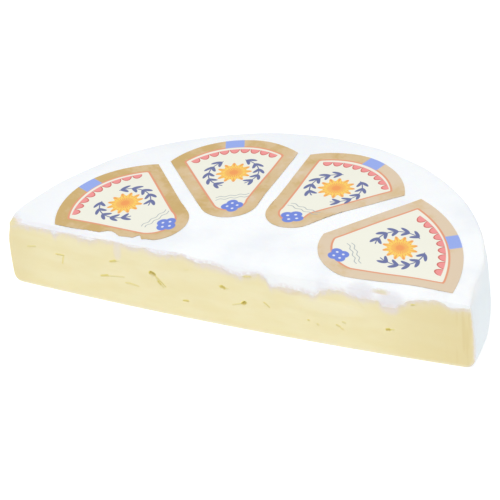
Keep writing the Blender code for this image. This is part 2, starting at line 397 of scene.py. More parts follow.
# %% Eyes and cracks
# From x, z to x, z along the cut, half width there and at the far end, depth, all in mm
HOLLOWS = (
    (-117.8, 23.5, -113.4, 24.4, 0.3, 0.45, 0.45),
    (-100.8, 22.2, -96.3, 22.2, 0.25, 0.4, 0.6),
    (-96.3, 22.2, -97.4, 17.3, 0.4, 0.2, 0.55),
    (-67.8, 24.1, -65.2, 24.9, 0.5, 0.7, 0.8),
    (-65.2, 24.9, -62.7, 25.6, 0.3, 0.15, 0.3),
    (-74.2, 14.5, -70.5, 15.3, 0.4, 0.7, 0.8),
    (-70.5, 15.3, -60.4, 16.5, 0.25, 0.1, 0.4),
    (-59.7, 13.2, -57.3, 13.1, 0.3, 0.7, 0.5),
    (-57.3, 13.1, -52.4, 12.7, 0.7, 0.2, 0.5),
    (-44.3, 21.9, -43.0, 21.4, 1.1, 1.2, 2.1),
    (-42.7, 21.5, -36.2, 15.5, 0.5, 0.15, 0.6),
    (-41.6, 20.0, -37.6, 14.8, 0.25, 0.15, 0.5),
    (-40.2, 17.6, -39.1, 16.3, 0.5, 0.4, 0.9),
    (-24.6, 27.6, -22.6, 27.9, 0.2, 0.2, 0.25),
    (-26.1, 9.5, -23.9, 9.7, 0.4, 0.6, 0.8),
    (-3.8, 21.6, -2.8, 21.3, 1.0, 0.8, 1.6),
    (-2.5, 21.2, -0.4, 21.4, 0.4, 0.15, 0.4),
    (8.6, 15.0, 7.7, 14.3, 0.9, 0.9, 1.9),
    (7.1, 14.2, 1.9, 12.7, 0.45, 0.15, 0.4),
    (9.0, 29.6, 12.4, 30.2, 0.8, 0.6, 0.5),
    (19.6, 17.1, 22.3, 15.1, 0.35, 0.2, 0.6),
    (43.4, 11.8, 43.8, 11.8, 0.35, 0.35, 0.7),
    (48.5, 10.6, 48.8, 10.1, 0.3, 0.3, 0.5),
    (58.8, 11.9, 60.4, 11.3, 0.45, 0.4, 0.6),
    (61.2, 10.4, 62.0, 10.0, 0.4, 0.4, 0.5),
    (62.1, 14.2, 63.2, 14.0, 0.4, 0.35, 0.5),
    (85.4, 14.3, 86.5, 14.5, 0.65, 0.6, 1.5),
    (86.9, 14.6, 89.0, 14.9, 0.3, 0.2, 0.5),
    (98.7, 30.8, 99.8, 31.2, 0.4, 0.3, 0.7),
    (99.8, 31.2, 101.4, 31.7, 0.25, 0.15, 0.3),
    (69.4, 28.3, 73.4, 24.6, 0.35, 0.2, 0.2),
)

# Each hollow tints the paste this far round it, in mm, and is cut to this share of its depth
HALO = 0.6
DEPTH_SHARE = 0.65
HOLLOW_ROUNDNESS = 0.7
# How strongly a hollow tints the paste and paints shadow on it: some along its middle line, and more towards
# its upper rim
SHADE_MIDDLE = 0.6
PAINTED_SHADOW_ABOVE = 0.9


def along_hollow(hollow, x, z):
    """Distance in mm from a hollow's line, the hollow's half width there, and how far above it."""
    x1, z1, x2, z2, near_width, far_width, _ = hollow
    run, rise = x2 - x1, z2 - z1
    share = ((x / MM - x1) * run + (z / MM - z1) * rise) / (run * run + rise * rise)
    share = min(1.0, max(0.0, share))
    above = z / MM - z1 - rise * share
    distance = math.hypot(x / MM - x1 - run * share, above)
    return distance, near_width + (far_width - near_width) * share, above


def hollow_depth(x, z):
    """How deep the hollows are at a place on the cut."""
    deepest = 0.0
    for hollow in HOLLOWS:
        distance, width, _ = along_hollow(hollow, x, z)
        if distance < width:
            deepest = max(deepest, hollow[-1] * (1 - (distance / width) ** 2) ** HOLLOW_ROUNDNESS)
    return deepest * MM * DEPTH_SHARE


def hollow_tint_and_shadow(x, z):
    """How much the hollows tint a place and paint shadow on it: the tint spreads in a soft halo round each,
    and the painted shadow is strongest under their upper rims.
    """
    darkest = 0.0
    for hollow in HOLLOWS:
        distance, width, above = along_hollow(hollow, x, z)
        reach = width + HALO
        if distance < reach:
            shade = hollow[-1] * (1 - (distance / reach) ** 2)
            darkest = max(darkest, shade * (SHADE_MIDDLE + PAINTED_SHADOW_ABOVE * above / reach))
    return darkest


def near_hollow(x, z, margin):
    """Whether a place lies in a hollow or within a margin of it, in mm."""
    for hollow in HOLLOWS:
        distance, width, _ = along_hollow(hollow, x, z)
        if distance < width + margin:
            return True
    return False


print(len(HOLLOWS), "eyes and cracks")

# %% [markdown]
# The half wheel starts as a flat grid, the cut, which is pulled back step by step into a block.
# Its square plan is then rounded to a half disc, so that the grid's lines run along the cut
# and nothing meets in a pole. The places on each line decide where the mesh is fine.

# %% The block
CUT_COLUMNS = 260
CUT_ROWS = 56
BACK_STEPS = 88
BACK_CROWDING = 1.4
ROUND_ROWS = 6


def clear_selection():
    bpy.ops.object.select_all(action="DESELECT")


def select_faces(obj, test):
    """In edit mode, selects the faces whose middle passes a test."""
    bm = bmesh.from_edit_mesh(obj.data)
    for face in bm.faces:
        face.select_set(test(face))
    bm.select_flush_mode()
    bmesh.update_edit_mesh(obj.data)
    return sum(face.select for face in bm.faces)


def add_block():
    clear_selection()
    bpy.ops.mesh.primitive_grid_add(
        x_subdivisions=CUT_COLUMNS, y_subdivisions=CUT_ROWS, size=2, rotation=(math.pi / 2, 0, 0)
    )
    block = bpy.context.object
    bpy.ops.object.transform_apply(location=False, rotation=True, scale=False)
    bpy.ops.object.mode_set(mode="EDIT")
    bpy.ops.mesh.select_mode(type="FACE")
    bpy.ops.mesh.select_all(action="SELECT")
    for _ in range(BACK_STEPS):
        bpy.ops.mesh.extrude_region_move(TRANSFORM_OT_translate={"value": (0, 1 / BACK_STEPS, 0)})
    bpy.ops.mesh.select_all(action="SELECT")
    bpy.ops.mesh.normals_make_consistent(inside=False)
    bpy.ops.object.mode_set(mode="OBJECT")
    return block


def row_height(row):
    """Height of a row of the cut: rounded with the base, even above it, rounded with the top."""
    if row <= ROUND_ROWS:
        return BASE_ROUND * (1 - math.cos(math.pi / 2 * row / ROUND_ROWS))
    from_top = CUT_ROWS - row
    if from_top <= ROUND_ROWS:
        return HEIGHT - TOP_ROUND * (1 - math.cos(math.pi / 2 * from_top / ROUND_ROWS))
    share = (row - ROUND_ROWS) / (CUT_ROWS - 2 * ROUND_ROWS)
    return BASE_ROUND + (HEIGHT - TOP_ROUND - BASE_ROUND) * share


def round_block(block):
    """The block's square plan becomes the half disc, and its rows take their heights."""
    for vert in block.data.vertices:
        across, back, up = vert.co
        z = row_height(round((up + 1) / 2 * CUT_ROWS))
        back = max(0.0, back) ** BACK_CROWDING
        radius = outline_radius(z)
        x = across * math.sqrt(1 - back * back / 2) * radius
        y = back * math.sqrt(1 - across * across / 2) * radius
        vert.co = (x, y, z)


cheese = add_block()
cheese.name = "cheese_half"
round_block(cheese)
print("block:", len(cheese.data.polygons), "faces")

# %% [markdown]
# A hollow a millimetre wide needs a finer mesh than the rest of the cut. Only the faces near
# the hollows and near the lip of the rind are divided, and the hidden base becomes one face.

# %% A finer mesh where it counts
LIP_MARGIN = 1.6 * MM
HOLLOW_MARGIN = 0.7
TINY = 0.01 * MM


def on_cut(face):
    return face.normal.y < -0.9


def by_the_lip(face):
    x, _, z = face.calc_center_median()
    return on_cut(face) and abs(HEIGHT - lip_depth(x) - z) < LIP_MARGIN


def by_a_hollow(face):
    x, _, z = face.calc_center_median()
    return on_cut(face) and near_hollow(x, z, HOLLOW_MARGIN)


def on_base(face):
    return face.calc_center_median().z < TINY


def refine(obj):
    clear_selection()
    obj.select_set(True)
    bpy.context.view_layer.objects.active = obj
    bpy.ops.object.mode_set(mode="EDIT")
    bpy.ops.mesh.select_mode(type="FACE")
    print("lip faces:", select_faces(obj, by_the_lip))
    bpy.ops.mesh.subdivide(number_cuts=1)
    print("hollow faces:", select_faces(obj, by_a_hollow))
    bpy.ops.mesh.subdivide(number_cuts=2)
    print("base faces:", select_faces(obj, on_base))
    bpy.ops.mesh.dissolve_faces()
    bpy.ops.object.mode_set(mode="OBJECT")


refine(cheese)
print("refined:", len(cheese.data.polygons), "faces")

# %% [markdown]
# Now every point is moved by the functions above: the top and side by the rind's relief,
# the cut by its bow, the proud lip, the drag of the knife and the hollows. For the finish, each point
# also remembers how far in mm inside the rind it lies, and how much a hollow tints it and paints shadow on
# it.

# %% Sculpting
REACH_LIMIT = 6.0
SKIN_RIGHT = -0.6
SKIN_SLOPE = 2
SKIN_FADE = 0.5
SIDE_DEPTH = 1.5 * MM
BARE_DENT = 0.5 * MM
TORN_REACH = -1.4
TORN_EDGE = 0.9
TORN_SLOPE = 3.2
TORN_RAGGED = 0.6
RAGGED_LENGTH = 3 * MM

# The lip's face: where it starts and is full, in mm inside the rind, how much of it is lost towards the
# top, and its bobbles, as a share, a length in mm and a seed
LIP_EDGE = (-0.5, 0.6)
LIP_FALL = 0.75
BOBBLE_LEVEL = 0.9
BOBBLES = ((0.5, 3.0, 3.0), (0.25, 1.4, 4.0))

# The groove just outside the lip, and the marks of the knife's drag on the paste
UNDERCUT = 0.12 * MM
UNDERCUT_PLACE = -0.9
UNDERCUT_WIDTH = 0.8
DRAG_HEIGHT = 0.10 * MM
DRAG_LENGTH = 5 * MM
DRAG_STRETCH = 0.35

# Where the rind is missing from the cut's left corner
CORNER_START = -120 * MM
CORNER_END = -128 * MM
CORNER_LOW = HEIGHT - 6 * MM
CORNER_HIGH = HEIGHT - 1 * MM
CORNER_DEPTH = 5 * MM

# A flat place in the cut: place along it, height, half width and half height, in mm
FACET = (53, 20, 26, 5)
FACET_HEIGHT = 0.5 * MM

# The wanderings of the rind's lower edge: how far and how long in mm, and a seed
LOBES = (0.5, 3.6, 13.0)
TATTERS = (0.5, 1.5, 17.0)
FRAY_START = -125 * MM
FRAY_END = -104 * MM


def torn(x, y, z):
    """How deep inside a torn patch a place lies: 1 at its middle, 0 at its rim and beyond."""
    deepest = 0.0
    for place, height, half_width, half_height in TORN:
        up = (z + max(0.0, y)) / MM - height
        deepest = max(deepest, 1 - math.hypot((x / MM - place) / half_width, up / half_height))
    return deepest


def frays(x, z):
    """How far the rind's lower edge wanders at a place, in mm: in lobes, and in small tatters."""
    far, long, seed = LOBES
    lobes = far * bumps(x, 0, 0.7 * z, long * MM, seed)
    far, long, seed = TATTERS
    tatters = far * bumps(x, 0, z, long * MM, seed)
    return (lobes + tatters) * smoothstep(FRAY_START, FRAY_END, x)


def rind_reach(x, y, z):
    """How far in mm a place lies inside the rind, or outside it if negative."""
    from_line = (z - HEIGHT + lip_depth(x)) / MM + frays(x, z)
    reach = REACH_LIMIT
    if y < TINY:
        reach = from_line
        if x > 0:
            reach = max(reach, SKIN_RIGHT - SKIN_SLOPE * (outline_radius(z) - x) / MM)
    elif x > 0:
        reach = max(from_line, SKIN_RIGHT + SKIN_FADE * y / MM)
    bare = smoothstep(-CORNER_START, -CORNER_END, -x) * smoothstep(CORNER_LOW, CORNER_HIGH, z)
    ragged = bumps(x, y, z, RAGGED_LENGTH, 21.0)
    if torn(x, y, z) > 0:
        loose = TORN_EDGE - TORN_SLOPE * torn(x, y, z) + TORN_RAGGED * ragged
        reach = min(reach, max(TORN_REACH, loose))
    if bare > 0:
        reach = min(reach, (y - CORNER_DEPTH * bare) / MM + ragged)
    return max(-REACH_LIMIT, min(REACH_LIMIT, reach))


def cut_offset(x, z):
    """How far a place on the cut stands behind the wheel's middle."""
    across = 1 - min(1.0, abs(x) / RADIUS) ** 2
    offset = -BOW * across * (1 - z / HEIGHT)
    reach = (z - HEIGHT + lip_depth(x)) / MM + frays(x, z)
    up_the_lip = min(1.0, max(0.0, reach * MM / lip_depth(x)))
    proud = smoothstep(*LIP_EDGE, reach) * (1 - LIP_FALL * up_the_lip ** 2)
    bobbles = [share * bumps(x, 0, z, long * MM, seed) for share, long, seed in BOBBLES]
    bobbly = sum(bobbles, BOBBLE_LEVEL)
    offset -= LIP_PROUD * proud * bobbly * min(1.0, lip_depth(x) / LIP_FULL)
    offset += UNDERCUT * math.exp(-((reach - UNDERCUT_PLACE) / UNDERCUT_WIDTH) ** 2)
    offset += DRAG_HEIGHT * bumps(x, 0, DRAG_STRETCH * z, DRAG_LENGTH, 5.0) * (1 - proud)
    place, height, half_width, half_height = FACET
    away = math.hypot((x / MM - place) / half_width, (z / MM - height) / half_height)
    offset += FACET_HEIGHT * smoothstep(1.0, 0.6, away) if away < 1 else 0.0
    offset += BARE_DENT * torn(x, 0, z)
    return offset + hollow_depth(x, z)


def sculpt(obj):
    """Moves every point of the block from its plain place, and stores what the finish reads."""
    reach = obj.data.attributes.new("rind_reach", "FLOAT", "POINT")
    hollow = obj.data.attributes.new("hollow", "FLOAT", "POINT")
    for vert in obj.data.vertices:
        x, y, z = vert.co
        radius = math.hypot(x, y)
        up = smoothstep(HEIGHT - TOP_ROUND, HEIGHT, z)
        side = smoothstep(0, BASE_ROUND, z) * (1 - up)
        rim = smoothstep(outline_radius(z) - SIDE_DEPTH, outline_radius(z), radius)
        front = y < TINY
        base = z < TINY
        reach.data[vert.index].value = rind_reach(x, y, z)
        hollow.data[vert.index].value = hollow_tint_and_shadow(x, z) if front else 0.0
        swell = RELIEF_HEIGHT * (bumps(x, y, z, RELIEF_LENGTH) - 1) + fine_relief(x, y, z)
        swell = swell * side * rim + side_swell(x, y, z)
        if radius > TINY:
            vert.co.x += x / radius * swell
            vert.co.y += y / radius * swell
        if front:
            vert.co.y += cut_offset(x, z)
            over_lip = min(1.0, max(0.0, (z - HEIGHT + lip_depth(x)) / lip_depth(x)))
            vert.co.z -= edge_drop(x, 0) * over_lip
        elif not base:
            vert.co.z -= edge_drop(x, y) * up
        vert.co.z += (top_relief(x, y) + fine_relief(x, y, 0)) * up
        vert.co.z -= BARE_DENT * torn(x, y, z) * up
    obj.data.transform(Matrix.Translation(MIDDLE))


sculpt(cheese)
clear_selection()
cheese.select_set(True)
bpy.context.view_layer.objects.active = cheese
bpy.ops.object.shade_smooth_by_angle(angle=math.radians(50))

# %% [markdown]
# One finish covers the cheese. The rind is white, velvety and faintly blue, the paste is pale
# cream and a little moist, and where they meet the rind thins to a greyish, frayed fringe.
# The mesh's own measure of how far inside the rind a point lies says which is which.

# %% Cheese finish
RIND_WHITE = rgb(251, 253, 254)
# A greyer rind: its own tone in soft patches, and painted shade on the back and left of the top
RIND_GREY_AND_SHADE = rgb(241, 244, 248)
# Painted shade: the rind's sides, a little darker and bluer than the top
RIND_SIDE_SHADE = rgb(243, 250, 253)
FRINGE = rgb(236, 226, 215)
# Lilac rind at its lower edge on the cut: partly its own pinkish tone, partly painted shade
RIND_LILAC_AND_SHADE = rgb(236, 229, 229)
# Painted shade: greyer rind by the edge of the cut and on the left of the top
RIND_GREY_SHADING = rgb(236, 235, 239)
PASTE_CREAM = rgb(240, 228, 179)
PASTE_PALE = rgb(243, 233, 190)
PASTE_DEEP = rgb(229, 212, 156)
# Painted light: paler paste along the foot of the cut, as if bounced from the floor
PASTE_FOOT_LIT = rgb(248, 242, 218)
HOLLOW_GOLD = rgb(234, 219, 122)
# Painted shadow in the deepest hollows
HOLLOW_SHADOW = rgb(172, 152, 62)
FACET_PALE = rgb(247, 239, 206)
PASTE_GOLDEN = rgb(230, 211, 168)
PASTE_BARE = rgb(227, 220, 188)

# Soft spots of another tone: place, height, half width and half height in mm, and strength. They are
# the flat place, a golden one under the rind, the torn patch, and white smears of rind on the paste.
FACET_SPOT = (56, 21.5, 23, 5, 0.5)
GOLDEN_SPOT = (34, 26.5, 8, 2.6, 0.7)
BARE_SPOT = (82.4, 37.0, 7, 3, 0.9)
SMEARS = ((-63.3, 31, 3, 6.5, 0.6), (87, 26.5, 7, 4, 0.5), (-5, 32, 12, 4, 0.3))

# Painted shade, greyer rind by the edge of the cut and on the left of the top, in the same way. OVER_TOP
# carries the height on over
# the edge: that many mm for each mm along the top.
OVER_TOP = 0.75
GREY_SHADE_SPOTS = (
    (72, 33.5, 9, 8, 1), (88, 31, 9, 8, 1), (52, 34, 5, 6, 0.3),
    (-90, 38, 22, 2.5, 0.4), (-110, 38, 14, 2.5, 0.5),
)

# The surface itself: how rough the paste is, how much rougher the rind is, how much both vary, the
# strength and height of the fine relief, and how far light soaks in
PASTE_ROUGH = 0.42
RIND_ROUGHER = 0.45
ROUGH_VARIES = 0.1
FINE_STRENGTH = 0.35
FINE_DISTANCE = 0.25 * MM
SOAK_SHARE = 0.12
SOAK_COLOURS = (1.0, 0.7, 0.35)
SOAK_DEPTH = 2 * MM


def soft_spot(along, height, place, middle, half_width, half_height, strength):
    """A soft oval spot: its strength at the middle, 0 at its rim."""
    away_x = (along - place * MM) / (half_width * MM)
    away_z = (height - middle * MM) / (half_height * MM)
    return (1 - (away_x * away_x + away_z * away_z).smooth(0.1, 1.0)) * strength


def cheese_finish():
    material, shader, places = new_finish("rind_and_paste")
    reach = places.node("ShaderNodeAttribute", {}, 2, attribute_name="rind_reach")
    hollow = places.node("ShaderNodeAttribute", {}, 2, attribute_name="hollow")
    along = places.node("ShaderNodeSeparateXYZ", {"Vector": places})
    behind = places.node("ShaderNodeSeparateXYZ", {"Vector": places}, 1) - MIDDLE.y
    height = places.node("ShaderNodeSeparateXYZ", {"Vector": places}, 2)
    radius = along.maths("SQRT", along * along + behind * behind)
    frayed = reach + (places.grain(1.0 * MM, 4) - 0.5) * 1.5
    smeared = places.grain(5 * MM, 3, (1.6, 1, 0.35)).smooth(0.45, 0.75)
    rind = frayed.smooth(-1.2, 0.9)
    lumpy = reach + (places.grain(2.6 * MM, 3) - 0.5) * 5
    thinned = lumpy.smooth(-3.4, -0.2) * 0.6 + reach.smooth(-6.0, -0.5) * (0.3 + 0.4 * smeared)
    thinned = thinned + sum(soft_spot(along, height, *spot) for spot in SMEARS)

    bloom = places.grain(0.8 * MM, 5)
    white = places.grain(30 * MM, 3).smooth(0.4, 0.7).mix(RIND_WHITE, RIND_GREY_AND_SHADE)
    # Painted shade: the top turns greyer towards the back and towards the left end
    painted_rear_shade = behind.smooth(40 * MM, 120 * MM) * (0.75 - 0.4 * along.smooth(-20 * MM, 90 * MM))
    painted_rear_shade = painted_rear_shade + (1 - along.smooth(-128 * MM, -80 * MM)) * 0.6
    white = painted_rear_shade.mix(white, RIND_GREY_AND_SHADE)
    # Painted shade: the side of the wheel below the top edge is darker and bluer
    side = radius.smooth(RADIUS - 4 * MM, RADIUS - 1 * MM) * (1 - height.smooth(33 * MM, 37 * MM))
    white = side.mix(white, RIND_SIDE_SHADE)
    over_edge = height + behind.maths("MAXIMUM", behind, 0.0) * OVER_TOP
    # Painted shade: greyer spots on the rind by the edge and along the left of the top
    grey_shade = sum(soft_spot(along, over_edge, *spot) for spot in GREY_SHADE_SPOTS)
    grey_shade = grey_shade * (0.6 + 0.8 * places.grain(4 * MM))
    white = grey_shade.maths("MINIMUM", grey_shade, 1.0).mix(white, RIND_GREY_SHADING)
    # A lilac band just above the rind's lower edge: partly the rind's pinkish tone, partly painted shade
    # where the rind turns down over the cut
    lilac_and_shade = frayed.bump(1.1, 3.6) * (0.2 + 0.75 * places.grain(2.4 * MM).smooth(0.3, 0.65))
    lilac_and_shade = lilac_and_shade * (1 - along.smooth(86 * MM, 100 * MM) * 0.8)
    white = lilac_and_shade.mix(white, RIND_LILAC_AND_SHADE)

    streaks = places.grain(11 * MM, 4, (0.5, 1, 1.6))
    paste = streaks.smooth(0.3, 0.7).mix(PASTE_CREAM, PASTE_PALE)
    paste = soft_spot(along, height, *FACET_SPOT).mix(paste, FACET_PALE)
    paste = soft_spot(along, height, *GOLDEN_SPOT).mix(paste, PASTE_GOLDEN)
    right_end = along.smooth(62 * MM, 128 * MM)
    left_end = 1 - along.smooth(-129 * MM, -108 * MM)
    # Darker paste just under the rind's edge: partly a creamy line in the paste, partly painted shade under
    # the lip
    cream_and_shade_under_lip = reach.bump(-1.4, 2.4) * 0.2
    knife = places.grain(2.4 * MM, 3, (1, 1, 0.08)).smooth(0.45, 0.7) * along.smooth(114 * MM, 124 * MM)
    deep = right_end * 0.7 + left_end * 0.4 + cream_and_shade_under_lip + knife * 0.35
    paste = deep.maths("MINIMUM", deep, 1.0).mix(paste, PASTE_DEEP)
    # Painted light: the paste turns paler along the foot of the cut, as if bounced from the floor
    paste = (0.6 - height.smooth(0.2 * MM, 1.8 * MM) * 0.6).mix(paste, PASTE_FOOT_LIT)
    paste = thinned.maths("MINIMUM", thinned, 0.95).mix(paste, FRINGE)
    paste = soft_spot(along, over_edge, *BARE_SPOT).mix(paste, PASTE_BARE)
    paste = (hollow.smooth(0.0, 0.6) * 0.9).mix(paste, HOLLOW_GOLD)
    # Painted shadow in the deepest hollows, darkest under their upper rims
    paste = hollow.smooth(0.9, 1.6).mix(paste, HOLLOW_SHADOW)

    pores = places.grain(1.1 * MM, 4) * 0.35 + knife * 0.8
    relief = rind * bloom + (1 - rind) * pores
    sockets = {"Height": relief, "Strength": FINE_STRENGTH, "Distance": FINE_DISTANCE}
    normal = places.node("ShaderNodeBump", sockets)
    roughness = rind * RIND_ROUGHER + PASTE_ROUGH + (places.grain(6 * MM) - 0.5) * ROUGH_VARIES
    plug(shader, Base_Color=rind.mix(paste, white), Roughness=roughness, Normal=normal)
    shader.inputs["Subsurface Weight"].default_value = SOAK_SHARE
    shader.inputs["Subsurface Radius"].default_value = SOAK_COLOURS
    shader.inputs["Subsurface Scale"].default_value = SOAK_DEPTH
    return material


cheese.data.materials.clear()
cheese.data.materials.append(cheese_finish())
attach(cheese, "root")
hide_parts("cheese")
print("cheese finish:", cheese.data.materials[0].name)

# %% [markdown]
# The labels are printed paper fans, one for each eighth of the wheel. A label is a grid bent to
# the fan's outline, laid on the rind so that it follows every slow bump, and given its thickness.
# The first one is torn along the cut, where the knife dragged its edge and the rind away,
# and the fourth one's edge there bends in a little.

# %% The labels' outlines
PAPER_THICKNESS = 0.2 * MM
PAPER_LIFT = 0.22 * MM
CURL_HEIGHT = 0.06 * MM
CURL_LENGTH = 12 * MM
LABEL_GRID = 52

# In mm, along the radius through the label's middle and across it
FANS = (
    {"angle": 157.5, "outer": ((95.9, 34.9), (99.9, -39.6)), "mid": 115.2,
     "inner": ((49.9, 17.5), (54.6, -19.1)), "tip": 39.3},
    {"angle": 112.5, "outer": ((101.1, 36.2), (102.3, -32.8)), "mid": 118.9,
     "inner": ((51.0, 16.5), (54.6, -14.0)), "tip": 40.4},
    {"angle": 67.5, "outer": ((98.3, 42.5), (100.5, -25.8)), "mid": 116.4,
     "inner": ((49.8, 21.2), (56.5, -7.1)), "tip": 37.8},
    {"angle": 22.5, "outer": ((97.7, 48.1), (110.5, -40.7)), "mid": 116.7,
     "inner": ((48.1, 19.8), (58.1, -19.2)), "tip": 45.8},
)
PRINT_FAN = {"outer": ((101.5, 35), (101.5, -35)), "mid": 117, "inner": ((52, 15.5), (52, -15.5)), "tip": 40}

# Where the first label's edge by the cut is torn off: place along the cut, depth, half width, in mm
TEARS = {1: ((-80, 1.0, 6), (-70, 3.9, 5.5), (-58, 2.0, 5), (-53.8, 5.2, 2.4), (-49, 2.2, 4))}
TEAR_REACH = 22 * MM
SHRED_HEIGHT = 0.5
SHRED_LENGTH = 1.1 * MM

# Where the fourth label's edge by the cut bends in with its print: place, depth and half width, in mm
BENDS = {4: (100, 2.6, 20)}


def arc_point(first, mid, last, share):
    """Point at a share of the way along the circle through three points of a plane."""
    (ax, ay), (bx, by), (cx, cy) = first, mid, last
    double_area = 2 * (ax * (by - cy) + bx * (cy - ay) + cx * (ay - by))
    a2, b2, c2 = ax * ax + ay * ay, bx * bx + by * by, cx * cx + cy * cy
    centre_x = (a2 * (by - cy) + b2 * (cy - ay) + c2 * (ay - by)) / double_area
    centre_y = (a2 * (cx - bx) + b2 * (ax - cx) + c2 * (bx - ax)) / double_area
    radius = math.hypot(ax - centre_x, ay - centre_y)
    start = math.atan2(ay - centre_y, ax - centre_x)
    sweep = (math.atan2(cy - centre_y, cx - centre_x) - start) % math.tau
    if (math.atan2(by - centre_y, bx - centre_x) - start) % math.tau > sweep:
        sweep -= math.tau
    angle = start + sweep * share
    return centre_x + radius * math.cos(angle), centre_y + radius * math.sin(angle)


def fan_point(fan, across, along):
    """Place on a fan in mm: along the radius and across it."""
    left, right = fan["outer"]
    outer = arc_point(left, (fan["mid"], (left[1] + right[1]) / 2), right, across)
    left, right = fan["inner"]
    inner = arc_point(left, (fan["tip"], (left[1] + right[1]) / 2), right, across)
    return [low + (high - low) * along for low, high in zip(inner, outer)]


print("fan widths in mm:", [round(fan["outer"][0][1] - fan["outer"][1][1], 1) for fan in FANS])

# %% [markdown]
# The print has to follow the paper, so each label carries a UV map of places on one common fan,
# and a measure of how far each point lies from the paper's edge, for the border.

# %% Making the labels
UV_SPAN = 150
EDGE_STEPS = 240


def outline_tree(fan):
    """Points close together along a fan's edge, for measuring the distance to it."""
    steps = [step / EDGE_STEPS for step in range(EDGE_STEPS)]
    points = [fan_point(fan, share, 1) for share in steps] + [fan_point(fan, share, 0) for share in steps]
    points += [fan_point(fan, 0, share) for share in steps] + [fan_point(fan, 1, share) for share in steps]
    tree = kdtree.KDTree(len(points))
    for number, (radial, side) in enumerate(points):
        tree.insert((radial, side, 0), number)
    tree.balance()
    return tree


def tear(number, x, y):
    """How far a label is torn back from the cut at a place."""
    tears = TEARS.get(number, ())
    bites = [deep * math.exp(-((x / MM - place) / wide) ** 2) for place, deep, wide in tears]
    depth = max(bites, default=0.0)
    if tears:
        shreds = noise.noise(Vector((x / SHRED_LENGTH, 0.5, 0.5)))
        depth += SHRED_HEIGHT * smoothstep(0.2, 1.0, depth) * shreds
    return depth * MM * smoothstep(TEAR_REACH, 0.0, y)


def bend(number, x, y):
    """How far a label's edge bends away from the cut at a place."""
    place, deep, wide = BENDS.get(number, (0, 0, 1))
    return deep * MM * math.exp(-((x / MM - place) / wide) ** 2) * smoothstep(TEAR_REACH, 0.0, y)


def lay_label(number, fan):
    """One label of paper, with its print's places, laid on the rind."""
    clear_selection()
    bpy.ops.mesh.primitive_grid_add(x_subdivisions=LABEL_GRID, y_subdivisions=LABEL_GRID, size=2)
    label = bpy.context.object
    label.name = f"paper_label_{number}"
    mesh = label.data
    edge = mesh.attributes.new("edge_mm", "FLOAT", "POINT")
    edges = outline_tree(fan)
    turn = math.radians(fan["angle"])
    prints = []
    for vert in mesh.vertices:
        across, along = (1 - vert.co.x) / 2, (1 + vert.co.y) / 2
        radial, side = fan_point(fan, across, along)
        print_radial, print_side = fan_point(PRINT_FAN, across, along)
        prints.append((print_side / UV_SPAN + 0.5, print_radial / UV_SPAN))
        x = (radial * math.cos(turn) - side * math.sin(turn)) * MM
        y = (radial * math.sin(turn) + side * math.cos(turn)) * MM
        y += tear(number, x, y)
        radial = (x * math.cos(turn) + y * math.sin(turn)) / MM
        side = (y * math.cos(turn) - x * math.sin(turn)) / MM
        edge.data[vert.index].value = edges.find((radial, side, 0))[2]
        y += bend(number, x, y)
        curl = CURL_HEIGHT * bumps(x, y, 0, CURL_LENGTH, number)
        z = HEIGHT + top_relief(x, y) - edge_drop(x, y) + PAPER_LIFT + curl
        vert.co = Vector((x, y, z)) + MIDDLE
    uv_map = mesh.uv_layers.active
    uv_map.name = "print"
    for loop in mesh.loops:
        uv_map.data[loop.index].uv = prints[loop.vertex_index]
    thick = label.modifiers.new("paper", "SOLIDIFY")
    thick.thickness = PAPER_THICKNESS
    thick.offset = 1
    bpy.ops.object.modifier_apply(modifier=thick.name)
    bpy.ops.object.shade_smooth_by_angle(angle=math.radians(40))
    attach(label, "root")
    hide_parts(f"label_{number}")
    return label


labels = [lay_label(number, fan) for number, fan in enumerate(FANS, start=1)]
print("labels:", [label.name for label in labels])

# %% [markdown]
# The print is a generic design: a tan border with a thin red line, a cream field, a golden flower
# in a wreath of blue leaves, a coral garland of scallops, two wavy lines and a blue clover.
# Each motif is a mask drawn with maths on the label's own places, in mm.

# %% Motifs of the print
FLOWER_RADIAL = 84
PETALS = 12
PETAL_REACH = 8.2
PETAL_WAVE = 1.4
INNER_SHARE = 0.6
HEART_RADIUS = 2.2
WREATH_RADIUS = 13.4
WREATH_LEAVES = 14
LEAF_LENGTH = 2.9
LEAF_WIDTH = 1.0
ARC_RADIAL = 69.7
GARLAND_RADIUS = 38.2
SCALLOP_STEP = math.radians(8.6)
SCALLOP_DROP = 4.4
GARLAND_END = 0.66
WAVE_RADIALS = (60.6, 58.2)
WAVE_WIDTH = 0.5
WAVE_HEIGHT = 0.45
WAVE_RATE = 1.2
WAVE_ENDS = (8.6, 9.0)
CLOVER_RADIAL = 50.5

# A clover's leaves and the white dots on them: radius, and distance from the middle
CLOVER_LEAVES = (3.0, 2.8)
CLOVER_DOTS = (0.7, 2.6)


def from_point(side, radial, centre):
    """Distance in mm from a point of the label's middle line, and the angle round it."""
    rise = radial - centre
    distance = side.maths("SQRT", side * side + rise * rise)
    return distance, side.maths("ARCTAN2", side, rise)


def petals(side, radial, reach, wave, turn=0.0):
    """A round flower whose rim waves in and out once for each petal."""
    distance, angle = from_point(side, radial, FLOWER_RADIAL)
    rim = distance - wave * distance.maths("COSINE", angle * PETALS + turn)
    return 1 - rim.smooth(reach - 0.25, reach + 0.25)


def leaf(along, across, tilt, shift):
    """A pointed oval leaf, tilted against the stem and shifted to one side of it."""
    across = across - shift
    run = along * math.cos(tilt) + across * math.sin(tilt)
    rise = across * math.cos(tilt) - along * math.sin(tilt)
    shape = run * run * (1 / LEAF_LENGTH ** 2) + rise * rise * (1 / LEAF_WIDTH ** 2)
    return 1 - shape.smooth(0.8, 1.2)


